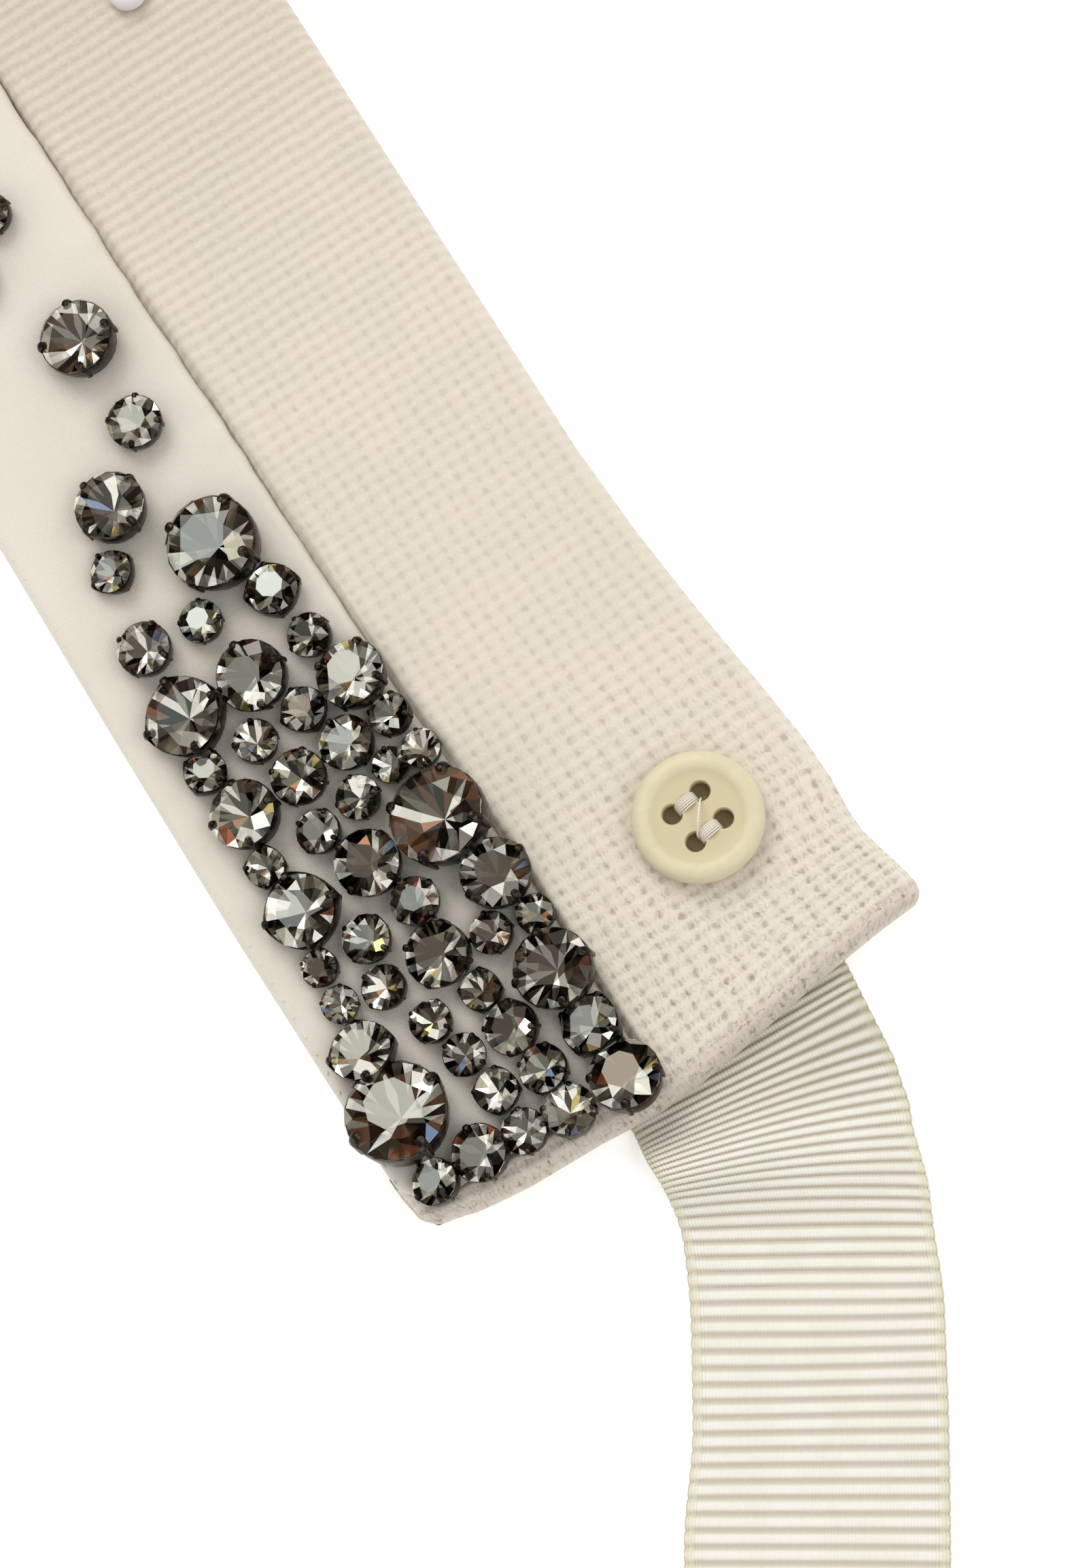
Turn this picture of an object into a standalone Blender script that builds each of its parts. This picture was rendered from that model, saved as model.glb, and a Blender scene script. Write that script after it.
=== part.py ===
"""Wool collar laid flat: a knitted band, a satin strip with sewn-on crystals, buttons, studs and two ribbon ties.

The band lies on the surface at z = 0 in a gentle bow, its wool side on the inside of the bow (+Y) and its crystals
on the outside (-Y). The two ends mirror each other in X. Built in metres from sizes in millimetres.
"""
from collections import namedtuple
from math import cos, pi, radians, sin

import bmesh
import bpy
from mathutils import Vector

MM = 0.001
SEAM_GAP = 0.3
CUT_PAST = 2.0  # how far a cutting guide passes the surface that it cuts

# Band: whole length and width, thickness, and the gentle bow at the back of the neck
BAND_LENGTH = 459.0
BAND_WIDTH = 54.3
BAND_THICK = 3.4
BAND_ROUND = 0.9
BOW_RADIUS = 360.0
BOW_HALF = 100.0
BOW_STEP = 10.0
STRAIGHT_STATIONS = (105.0, 85.0, 60.0, 35.0)
HALF = BAND_LENGTH / 2
MID = BAND_WIDTH / 2

# Satin strip: its wall, the turned edge, and how far it stays from the band's end
SATIN_WALL = 1.0
SATIN_FROM_END = 2.6
SATIN_ROUND = 0.5

# Crystals: shares of a stone's size, the cup's clearance, and how deep its foot is sunk in the satin
CRYSTAL_SIDES = 8
FOOT_SHARE = 0.22
CUP_SHARE = 0.40
CUP_CLEAR = 0.35
GIRDLE_SHARE = 0.48
TABLE_SHARE = 0.28
GIRDLE_HEIGHT = 0.36
TABLE_HEIGHT = 0.56
CRYSTAL_SINK = 0.2

# Buttons and studs
BUTTON_RADIUS = 6.5
BUTTON_FROM_END = 21.5
BUTTON_ACROSS = 44.6
BUTTON_SIDES = 32
HOLE_RADIUS = 1.0
HOLE_RING = 2.5
HOLE_TURN = 69.0
HOLE_SIDES = 10
STUD_PITCH = 104.0
STUD_ACROSS = 41.0
STUD_RADIUS = 2.0
STUD_HEIGHT = 1.7
STUD_SIDES = 16
SHARP_EDGE = 35.0

# Ribbon ties
RIBBON_WIDTH = 25.3
RIBBON_WALL = 1.0
RIBBON_LENGTH = 300.0
RIBBON_TUCK = 7.0
RIBBON_ACROSS = 36.0
RIBBON_SEAT_ROOM = 0.8
RIBBON_BEND_STEP = 2.0
RIBBON_BEND_END = 36.0
RIBBON_STEP = 4.0
RIBBON_COLUMNS = 6
PUCKER_AT = 9.5
PUCKER_HALF = 9.0
PUCKER_INNER = 3.4
PUCKER_OUTER = 1.4

Corner = namedtuple("Corner", "from_end across")
Width = namedtuple("Width", "from_end width")
Crystal = namedtuple("Crystal", "from_end across size")
Heading = namedtuple("Heading", "along degrees")
Ring = namedtuple("Ring", "radius height")
Level = namedtuple("Level", "height inset")

# One end of the band, from the wool side round its flared tip and the end to the crystal side
END_OUTLINE = [
    Corner(60.0, 54.3), Corner(50.0, 54.6), Corner(40.0, 55.3), Corner(30.0, 56.4), Corner(22.0, 57.3),
    Corner(15.0, 57.5), Corner(10.0, 57.1), Corner(6.5, 57.7), Corner(4.8, 58.3), Corner(3.3, 58.2),
    Corner(2.4, 56.8), Corner(1.8, 51.3), Corner(0.8, 43.0), Corner(0.1, 33.0), Corner(0.0, 24.0),
    Corner(0.2, 12.0), Corner(0.9, 5.0), Corner(1.8, 2.2), Corner(3.3, 0.8), Corner(6.0, 0.2),
    Corner(12.0, 0.0), Corner(60.0, 0.0),
]

# Width of the satin strip, which narrows away from the end
STRIP_WIDTHS = [
    Width(0.0, 28.6), Width(25.0, 28.3), Width(45.0, 26.8), Width(75.0, 26.3), Width(105.0, 25.3),
    Width(125.0, 25.0), Width(HALF, 25.0),
]

# Crystals of one half, from the end inwards: thick at the end, then scattered
CRYSTALS = [
    Crystal(4.2, 25.2, 6.4), Crystal(4.1, 19.0, 5.0), Crystal(4.7, 14.0, 4.2), Crystal(5.4, 9.1, 5.2),
    Crystal(4.8, 4.1, 4.4), Crystal(8.9, 19.3, 4.4), Crystal(9.5, 14.0, 4.3), Crystal(10.1, 25.0, 5.2),
    Crystal(12.2, 5.0, 9.0), Crystal(13.9, 18.3, 5.0), Crystal(14.1, 13.2, 4.2), Crystal(16.5, 24.9, 7.1),
    Crystal(18.7, 17.8, 4.0), Crystal(18.7, 12.1, 4.2), Crystal(19.9, 5.0, 5.9), Crystal(22.2, 26.2, 3.8),
    Crystal(22.9, 21.6, 4.2), Crystal(24.0, 9.9, 4.4), Crystal(23.8, 16.0, 6.2), Crystal(24.9, 5.5, 3.7),
    Crystal(27.5, 25.2, 6.4), Crystal(29.0, 5.6, 3.7), Crystal(28.9, 11.0, 4.8), Crystal(29.5, 17.0, 4.8),
    Crystal(34.6, 7.0, 7.2), Crystal(35.1, 15.0, 6.5), Crystal(35.3, 23.2, 9.0), Crystal(40.4, 6.3, 3.9),
    Crystal(40.6, 12.5, 4.4), Crystal(41.3, 17.6, 4.4), Crystal(42.3, 25.8, 4.0), Crystal(42.4, 22.0, 3.3),
    Crystal(45.9, 7.2, 6.8), Crystal(46.2, 13.7, 5.5), Crystal(46.6, 19.4, 5.4), Crystal(46.8, 24.5, 4.3),
    Crystal(51.7, 12.0, 4.4), Crystal(51.8, 17.6, 4.5), Crystal(51.7, 6.2, 4.2), Crystal(52.3, 23.3, 6.4),
    Crystal(57.3, 14.9, 7.0), Crystal(57.7, 7.0, 7.3), Crystal(57.9, 21.9, 4.4), Crystal(64.0, 21.8, 5.0),
    Crystal(65.0, 13.6, 4.3), Crystal(65.6, 7.4, 5.4), Crystal(70.8, 18.6, 9.2), Crystal(74.2, 8.6, 4.3),
    Crystal(79.8, 12.0, 7.0), Crystal(86.0, 18.5, 5.4), Crystal(96.5, 18.0, 7.5), Crystal(108.5, 12.0, 4.8),
    Crystal(113.0, 17.0, 4.5), Crystal(123.5, 8.5, 5.4), Crystal(131.0, 18.5, 4.5), Crystal(141.5, 12.5, 7.0),
    Crystal(154.0, 17.0, 4.5), Crystal(166.0, 9.5, 5.4), Crystal(181.0, 15.5, 6.2), Crystal(198.0, 10.5, 4.5),
    Crystal(214.0, 16.5, 5.4),
]
MIDDLE_CRYSTAL = Crystal(HALF, 12.0, 7.0)

# Direction of a ribbon against the band's end, in degrees towards the wool side
RIBBON_HEADINGS = [
    Heading(-10.0, -5.0), Heading(6.0, -6.0), Heading(12.0, -13.0), Heading(20.0, -26.0), Heading(28.0, -31.0),
    Heading(48.0, -32.0), Heading(72.0, -33.0), Heading(120.0, -50.0), Heading(200.0, -74.0), Heading(300.0, -92.0),
]

# Button turned on its axis, from under its middle round the rim to the dished middle
BUTTON_RINGS = [
    Ring(4.6, 0.0), Ring(6.0, 0.6), Ring(6.5, 1.4), Ring(6.35, 2.1), Ring(5.8, 2.6), Ring(5.2, 2.6),
    Ring(4.6, 2.1), Ring(4.1, 1.8), Ring(3.4, 1.7),
]

# Stud turned on its axis, as shares of its radius and height
STUD_RINGS = [Ring(0.8, 0.0), Ring(1.0, 0.25), Ring(0.94, 0.6), Ring(0.7, 0.88), Ring(0.35, 1.0)]

# Edge of the wool band from its underside up: height, and how far the outline is drawn in there
WOOL_LEVELS = [Level(0.0, 0.7), Level(0.8, 0.0), Level(BAND_THICK - BAND_ROUND, 0.0), Level(BAND_THICK, 0.8)]
SATIN_UNDER = BAND_THICK - SATIN_WALL


def smooth(t):
    t = min(max(t, 0.0), 1.0)
    return t * t * (3 - 2 * t)


def between(rows, at):
    """Value of a two-column table at a place in its first column."""
    for before, after in zip(rows, rows[1:]):
        if at <= after[0]:
            share = smooth((at - before[0]) / (after[0] - before[0]))
            return before[1] + (after[1] - before[1]) * share
    return rows[-1][1]


def on_band(from_middle, across, height=0.0):
    """A point of the bowed band, from its place along the middle line and its distance from the crystal side."""
    side = 1 if from_middle >= 0 else -1
    along = abs(from_middle)
    turn = min(along, BOW_HALF) / BOW_RADIUS
    past = max(along - BOW_HALF, 0.0)
    off = across - MID
    x = BOW_RADIUS * sin(turn) + past * cos(turn) - off * sin(turn)
    y = BOW_RADIUS * (1 - cos(turn)) + past * sin(turn) + off * cos(turn)
    return Vector((side * x, y, height)) * MM


def material(name, colour, roughness, metallic=0.0):
    made = bpy.data.materials.new(name)
    made.use_nodes = True
    shader = made.node_tree.nodes["Principled BSDF"]
    shader.inputs["Base Color"].default_value = (*colour, 1.0)
    shader.inputs["Roughness"].default_value = roughness
    shader.inputs["Metallic"].default_value = metallic
    return made


def new_object(name, mesh_data, finish):
    mesh = bpy.data.meshes.new(name)
    mesh_data.normal_update()
    mesh_data.to_mesh(mesh)
    mesh_data.free()
    made = bpy.data.objects.new(name, mesh)
    bpy.context.scene.collection.objects.link(made)
    if finish:
        mesh.materials.append(finish)
    return made


def loft(rings):
    """Closed mesh through equal rings of points, with a face over the first and the last."""
    made = bmesh.new()
    rows = [[made.verts.new(point) for point in ring] for ring in rings]
    count = len(rows[0])
    for low, high in zip(rows, rows[1:]):
        for i in range(count):
            j = (i + 1) % count
            made.faces.new((low[i], low[j], high[j], high[i]))
    made.faces.new(reversed(rows[0]))
    made.faces.new(rows[-1])
    bmesh.ops.recalc_face_normals(made, faces=made.faces)
    return made


def cut(body, cutter, operation="DIFFERENCE"):
    """Boolean of one object with another, which stays as a hidden guide."""
    change = body.modifiers.new("Cut", "BOOLEAN")
    change.object = cutter
    change.operation = operation
    change.solver = "EXACT"
    cutter.hide_render = True
    cutter.display_type = "WIRE"


def bow_places():
    steps = int(2 * BOW_HALF / BOW_STEP)
    return [-BOW_HALF + BOW_STEP * i for i in range(steps + 1)]


def stations(from_end):
    """Places along the whole band, closer on the bow, that stop short of both ends."""
    right = [HALF - mark for mark in STRAIGHT_STATIONS] + [HALF - from_end]
    left = [-place for place in reversed(right)]
    return left + bow_places() + right


def band_outline():
    """Whole outline of the band as pairs of place from the middle and distance from the crystal side."""
    right = [(HALF - row.from_end, row.across) for row in END_OUTLINE]
    crystal_side = [(place, 0.0) for place in reversed(bow_places())]
    left = [(-place, across) for place, across in reversed(right)]
    wool_side = [(place, BAND_WIDTH) for place in bow_places()]
    return right + crystal_side + left + wool_side


def inset(outline, distance):
    """Outline, which runs clockwise, moved in by a distance along the normals at its points."""
    count = len(outline)
    moved = []
    for i, (along, across) in enumerate(outline):
        before = Vector(outline[i - 1])
        after = Vector(outline[(i + 1) % count])
        way = (after - before).normalized()
        moved.append((along + way.y * distance, across - way.x * distance))
    return moved


def make_wool_band(finish):
    outline = band_outline()
    rings = []
    for level in WOOL_LEVELS:
        ring = inset(outline, level.inset)
        rings.append([on_band(along, across, level.height) for along, across in ring])
    band = new_object("wool_band", loft(rings), finish)
    cut(band, satin_seat())
    for side in (1, -1):
        cut(band, ribbon_seat(side))
    return band


def strip_section(place, seat):
    """Section of the satin strip, or of the room that it takes from the wool."""
    width = between(STRIP_WIDTHS, HALF - abs(place))
    if seat:
        wall = SATIN_WALL + SEAM_GAP
        floor = SATIN_UNDER - SEAM_GAP
        seam = width + SEAM_GAP
        over = BAND_THICK + CUT_PAST
        return [(-CUT_PAST, -CUT_PAST), (wall, -CUT_PAST), (wall, floor), (seam, floor), (seam, over),
                (-CUT_PAST, over)]
    return [(0.0, 0.0), (SATIN_WALL, 0.0), (SATIN_WALL, SATIN_UNDER), (width, SATIN_UNDER), (width, BAND_THICK),
            (SATIN_ROUND, BAND_THICK), (0.0, BAND_THICK - SATIN_ROUND)]


def satin_seat():
    reach = SATIN_FROM_END - SEAM_GAP
    rings = [[on_band(place, a, z) for a, z in strip_section(place, True)] for place in stations(reach)]
    return new_object("guide_satin_seat", loft(rings), None)


def crystal(made, place, row):
    """One crystal in its cup as a turned eight-sided solid, sunk in the satin."""
    centre = on_band(place, row.across, BAND_THICK)
    levels = [
        Ring(row.size * FOOT_SHARE, -CRYSTAL_SINK),
        Ring(row.size * CUP_SHARE, CUP_CLEAR),
        Ring(row.size * GIRDLE_SHARE, row.size * GIRDLE_HEIGHT),
        Ring(row.size * TABLE_SHARE, row.size * TABLE_HEIGHT),
    ]
    rows = []
    for level in levels:
        ring = []
        for i in range(CRYSTAL_SIDES):
            turn = 2 * pi * (i + 0.5) / CRYSTAL_SIDES
            out = Vector((cos(turn) * level.radius, sin(turn) * level.radius, level.height)) * MM
            ring.append(made.verts.new(centre + out))
        rows.append(ring)
    for low, high in zip(rows, rows[1:]):
        for i in range(CRYSTAL_SIDES):
            j = (i + 1) % CRYSTAL_SIDES
            made.faces.new((low[i], low[j], high[j], high[i]))
    made.faces.new(reversed(rows[0]))
    made.faces.new(rows[-1])


def make_satin_strip(finish):
    rings = [[on_band(place, a, z) for a, z in strip_section(place, False)] for place in stations(SATIN_FROM_END)]
    strip = new_object("satin_strip", loft(rings), finish)
    stones = bmesh.new()
    for row in CRYSTALS:
        crystal(stones, HALF - row.from_end, row)
        crystal(stones, row.from_end - HALF, row)
    crystal(stones, 0.0, MIDDLE_CRYSTAL)
    cut(strip, new_object("guide_crystals", stones, None), "UNION")
    return strip


def turned(rings, sides):
    """Closed solid turned about Z through rings, flat over the first and the last."""
    loops = []
    for ring in rings:
        turns = [2 * pi * i / sides for i in range(sides)]
        loops.append([Vector((cos(t) * ring.radius, sin(t) * ring.radius, ring.height)) * MM for t in turns])
    return loft(loops)


def make_button(name, side, finish):
    place = on_band(side * (HALF - BUTTON_FROM_END), BUTTON_ACROSS, BAND_THICK + SEAM_GAP)
    button = new_object(name, turned(BUTTON_RINGS, BUTTON_SIDES), finish)
    button.location = place
    for i in range(4):
        turn = radians(HOLE_TURN + 90 * i) if side > 0 else radians(180 - HOLE_TURN - 90 * i)
        hole = turned([Ring(HOLE_RADIUS, -CUT_PAST), Ring(HOLE_RADIUS, 2 * CUT_PAST)], HOLE_SIDES)
        bmesh.ops.translate(hole, verts=hole.verts, vec=Vector((cos(turn), sin(turn), 0)) * HOLE_RING * MM)
        bmesh.ops.translate(hole, verts=hole.verts, vec=place)
        cut(button, new_object(f"guide_{name}_hole_{i}", hole, None))
    return button


def make_stud(name, place, finish):
    rings = [Ring(STUD_RADIUS * ring.radius, STUD_HEIGHT * ring.height) for ring in STUD_RINGS]
    stud = new_object(name, turned(rings, STUD_SIDES), finish)
    stud.location = on_band(place, STUD_ACROSS, BAND_THICK + SEAM_GAP)
    return stud


def off_end(side, out, across, height):
    """A point past the band's end, by distance out from the end and distance from the crystal side."""
    return on_band(side * (HALF + out), across, height)


def ribbon_line():
    """Middle line of a ribbon as rows of distance along, distance out, across and direction."""
    rows = []
    along, out, across = -RIBBON_TUCK, -RIBBON_TUCK, RIBBON_ACROSS
    while True:
        rows.append((along, out, across, radians(between(RIBBON_HEADINGS, along))))
        if along >= RIBBON_LENGTH:
            return rows
        step = RIBBON_STEP if along > RIBBON_BEND_END else RIBBON_BEND_STEP
        step = min(step, RIBBON_LENGTH - along)
        middle = radians(between(RIBBON_HEADINGS, along + step / 2))
        out += step * cos(middle)
        across += step * sin(middle)
        along += step


def pucker(along, share):
    """Height of the soft buckle in the ribbon's bend, higher on the inside of the bend (share 0)."""
    near = 1 - abs(along - PUCKER_AT) / PUCKER_HALF
    height = PUCKER_INNER + (PUCKER_OUTER - PUCKER_INNER) * share
    return height * smooth(near)


def make_ribbon(name, side, finish):
    rings = []
    for along, out, across, turn in ribbon_line():
        top, under = [], []
        for i in range(RIBBON_COLUMNS):
            share = i / (RIBBON_COLUMNS - 1)
            off = (share - 0.5) * RIBBON_WIDTH
            lift = pucker(along, share)
            at = (side, out - off * sin(turn), across + off * cos(turn))
            under.append(off_end(*at, lift))
            top.append(off_end(*at, lift + RIBBON_WALL))
        rings.append(under + top[::-1])
    return new_object(name, loft(rings), finish)


def ribbon_seat(side):
    """Room for the ribbon's sewn end in the underside of the band."""
    half = RIBBON_WIDTH / 2 + RIBBON_SEAT_ROOM
    low, high = RIBBON_ACROSS - half, RIBBON_ACROSS + half
    height = RIBBON_WALL + SEAM_GAP
    root = RIBBON_TUCK + half * sin(radians(-RIBBON_HEADINGS[0].degrees)) + SEAM_GAP
    rings = []
    for out in (-root, RIBBON_TUCK):
        corners = ((low, -CUT_PAST), (high, -CUT_PAST), (high, height), (low, height))
        rings.append([off_end(side, out, across, z) for across, z in corners])
    return new_object(f"guide_ribbon_seat_{'near' if side > 0 else 'far'}", loft(rings), None)


def centre_on_origin(pieces):
    """Move every piece so that the box of the whole collar is centred on the origin in X and Y."""
    bpy.context.view_layer.update()
    graph = bpy.context.evaluated_depsgraph_get()
    points = []
    for piece in pieces:
        shape = piece.evaluated_get(graph)
        points += [shape.matrix_world @ vert.co for vert in shape.data.vertices]
    middle_x = (min(p.x for p in points) + max(p.x for p in points)) / 2
    middle_y = (min(p.y for p in points) + max(p.y for p in points)) / 2
    for thing in bpy.context.scene.objects:
        thing.location -= Vector((middle_x, middle_y, 0.0))


def shade(piece):
    piece.data.shade_smooth()
    piece.data.set_sharp_from_angle(angle=radians(SHARP_EDGE))


def main():
    for old in list(bpy.data.objects):
        bpy.data.objects.remove(old)
    wool = material("wool_knit", (0.72, 0.66, 0.57), 0.9)
    satin = material("ivory_satin", (0.78, 0.74, 0.66), 0.4)
    horn = material("cream_button", (0.78, 0.72, 0.52), 0.35)
    clear = material("clear_stud", (0.75, 0.74, 0.76), 0.2)
    grosgrain = material("ivory_grosgrain", (0.82, 0.80, 0.72), 0.6)
    pieces = [
        make_wool_band(wool),
        make_satin_strip(satin),
        make_button("button_near", 1, horn),
        make_button("button_far", -1, horn),
        make_stud("stud_near", HALF - BUTTON_FROM_END - STUD_PITCH, clear),
        make_stud("stud_middle", 0.0, clear),
        make_stud("stud_far", BUTTON_FROM_END + STUD_PITCH - HALF, clear),
        make_ribbon("ribbon_near", 1, grosgrain),
        make_ribbon("ribbon_far", -1, grosgrain),
    ]
    for piece in pieces:
        shade(piece)
    centre_on_origin(pieces)


main()
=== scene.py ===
"""Looks of the wool collar: knitted band, satin strip, cut crystals in cups, buttons, studs and ribbon ties.

Lengths are in millimetres until a piece's points go into its mesh. A place on the band is its distance
along the middle line from the middle of the collar, and its distance across from the crystal side.
"""
import random
from collections import namedtuple
from math import cos, pi, radians, sin

import bmesh
import bpy
import numpy as np
from mathutils import Matrix, Vector


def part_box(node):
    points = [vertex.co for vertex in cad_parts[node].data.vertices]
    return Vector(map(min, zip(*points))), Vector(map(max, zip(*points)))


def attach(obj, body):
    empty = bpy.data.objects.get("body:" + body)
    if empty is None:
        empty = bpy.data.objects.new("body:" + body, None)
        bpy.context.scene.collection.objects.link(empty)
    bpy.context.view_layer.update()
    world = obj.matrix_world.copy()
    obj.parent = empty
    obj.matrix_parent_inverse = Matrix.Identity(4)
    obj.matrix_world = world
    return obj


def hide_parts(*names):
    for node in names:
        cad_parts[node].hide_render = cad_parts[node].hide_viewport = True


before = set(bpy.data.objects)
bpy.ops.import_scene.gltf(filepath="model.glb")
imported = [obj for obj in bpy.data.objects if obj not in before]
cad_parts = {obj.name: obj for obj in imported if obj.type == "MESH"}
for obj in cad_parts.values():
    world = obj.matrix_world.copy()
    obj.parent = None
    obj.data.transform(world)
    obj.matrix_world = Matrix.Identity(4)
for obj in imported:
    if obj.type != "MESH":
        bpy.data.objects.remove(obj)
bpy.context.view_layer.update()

MM = 0.001

# Band, bow, strip and ties, in the sizes of the solids
BAND_LENGTH = 459.0
BAND_WIDTH = 54.3
BAND_THICK = 3.4
BOW_RADIUS = 360.0
BOW_HALF = 100.0
HALF = BAND_LENGTH / 2
MID = BAND_WIDTH / 2
SATIN_FROM_END = 3.7
BUTTON_FROM_END = 21.5
BUTTON_ACROSS = 44.6
HOLE_RING = 2.5
HOLE_TURN = 69.0
STUD_PITCH = 104.0
STUD_ACROSS = 41.0
RIBBON_WIDTH = 25.3
RIBBON_WALL = 1.0
RIBBON_LENGTH = 300.0
RIBBON_TUCK = 7.0
RIBBON_ACROSS = 36.0
SHIFT_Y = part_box("satin_strip")[0].y / MM + MID

# Knit: size of a stitch along the band and across it, the loops drawn in it, and its mesh steps each way
COURSE = 1.37
WALE = 1.66
LOOPS = 3
KNIT_STEPS = 4

Crystal = namedtuple("Crystal", "from_end across size")

# Edges near an end, by distance from the end: each side's distance across, and the strip's width
WOOL_SIDE = [
    (3.4, 57.8), (3.8, 58.5), (4.3, 58.9), (5.2, 59.1), (6.8, 58.85), (9.8, 58.1), (12.3, 57.5),
    (14.6, 57.4), (18.6, 57.7), (23.0, 57.6), (30.0, 56.9), (40.0, 55.7), (50.0, 54.8), (60.0, 54.3),
]
CRYSTAL_SIDE = [
    (1.8, 2.3), (3.3, 1.0), (6.0, 0.5), (11.0, 0.3), (20.0, 0.1), (26.0, 0.0), (36.0, -0.2), (60.0, -0.2),
    (80.0, 0.0),
]
STRIP_WIDTHS = [
    (0.0, 27.6), (25.0, 27.5), (38.0, 27.0), (50.0, 26.4), (75.0, 26.0), (105.0, 25.3), (125.0, 25.0),
    (HALF, 25.0),
]

# How far the end's line is drawn in, by distance across
END_LINE = [
    (0.0, 1.8), (3.0, 1.3), (5.0, 0.9), (12.0, 0.2), (20.0, 0.0), (26.0, -0.5), (31.0, -0.2), (36.0, 0.5),
    (43.0, 1.9), (47.0, 2.6), (50.6, 3.1), (54.3, 3.4),
]

# Crystals of one half, from the end inwards: distance from the end, distance across and size
CRYSTALS = [Crystal(*row) for row in [
    (4.0, 25.3, 7.0), (4.1, 19.0, 5.2), (4.7, 14.2, 4.5), (5.2, 9.4, 5.6), (5.2, 4.3, 4.6),
    (8.9, 18.9, 4.8), (9.5, 14.0, 4.3), (10.1, 25.0, 5.7), (12.7, 4.8, 9.9), (13.9, 18.3, 5.3),
    (14.1, 13.2, 4.2), (16.5, 24.8, 7.8), (18.7, 17.8, 4.0), (18.7, 12.1, 4.2), (19.8, 4.9, 6.2),
    (22.2, 26.2, 3.8), (22.9, 21.6, 4.2), (24.0, 9.9, 4.4), (23.8, 16.0, 6.4), (24.9, 5.5, 3.7),
    (27.5, 25.1, 6.9), (29.0, 5.6, 3.7), (28.9, 11.0, 4.8), (29.5, 17.0, 4.8), (34.6, 7.0, 7.2),
    (35.1, 15.0, 6.5), (35.3, 23.2, 9.6), (40.4, 6.3, 3.9), (40.6, 12.5, 4.4), (41.3, 17.6, 4.4),
    (42.2, 25.4, 3.9), (42.4, 22.0, 3.6), (45.9, 7.2, 6.8), (46.2, 13.7, 5.5), (46.6, 19.4, 5.4),
    (46.8, 24.5, 4.3), (51.7, 12.0, 4.4), (51.8, 17.6, 4.5), (51.7, 6.2, 4.2), (52.2, 23.4, 6.8),
    (57.3, 14.9, 7.0), (57.4, 7.2, 7.7), (57.9, 21.9, 4.4), (63.8, 21.3, 5.2), (65.0, 13.6, 4.3),
    (65.6, 7.4, 5.4), (70.8, 18.6, 9.2), (74.2, 8.6, 4.3), (79.8, 12.0, 7.0), (86.0, 18.5, 5.4),
    (96.5, 18.0, 7.5), (108.5, 12.0, 4.8), (113.0, 17.0, 4.5), (123.5, 8.5, 5.4), (131.0, 18.5, 4.5),
    (141.5, 12.5, 7.0), (154.0, 17.0, 4.5), (166.0, 9.5, 5.4), (181.0, 15.5, 6.2), (198.0, 10.5, 4.5),
    (214.0, 16.5, 5.4),
]]
MIDDLE_CRYSTAL = Crystal(HALF, 12.0, 7.0)

# Direction of a ribbon in degrees off the band's line, by distance along it
RIBBON_HEADINGS = [
    (-10.0, -5.0), (6.0, -6.0), (12.0, -13.0), (20.0, -26.0), (28.0, -31.0), (48.0, -32.0), (72.0, -33.0),
    (120.0, -50.0), (200.0, -74.0), (300.0, -92.0),
]


# Shader tools

class Link:
    """A shader value. An expression on it adds the Math nodes."""

    def __init__(self, finish, socket):
        self.finish = finish
        self.socket = socket

    def maths(self, operation, *terms):
        return self.finish.node("Math", {"operation": operation}, dict(enumerate(terms)))

    def __add__(self, other):
        return self.maths("ADD", self, other)

    def __radd__(self, other):
        return self.maths("ADD", other, self)

    def __sub__(self, other):
        return self.maths("SUBTRACT", self, other)

    def __rsub__(self, other):
        return self.maths("SUBTRACT", other, self)

    def __mul__(self, other):
        return self.maths("MULTIPLY", self, other)

    def __rmul__(self, other):
        return self.maths("MULTIPLY", other, self)

    def __truediv__(self, other):
        return self.maths("DIVIDE", self, other)

    def __rtruediv__(self, other):
        return self.maths("DIVIDE", other, self)

    def wave(self):
        """From -1 to 1 and back for each whole unit."""
        return self.maths("COSINE", self * (2 * pi))

    def fraction(self):
        return self.maths("FRACT", self)

    def size(self):
        return self.maths("ABSOLUTE", self)


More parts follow.
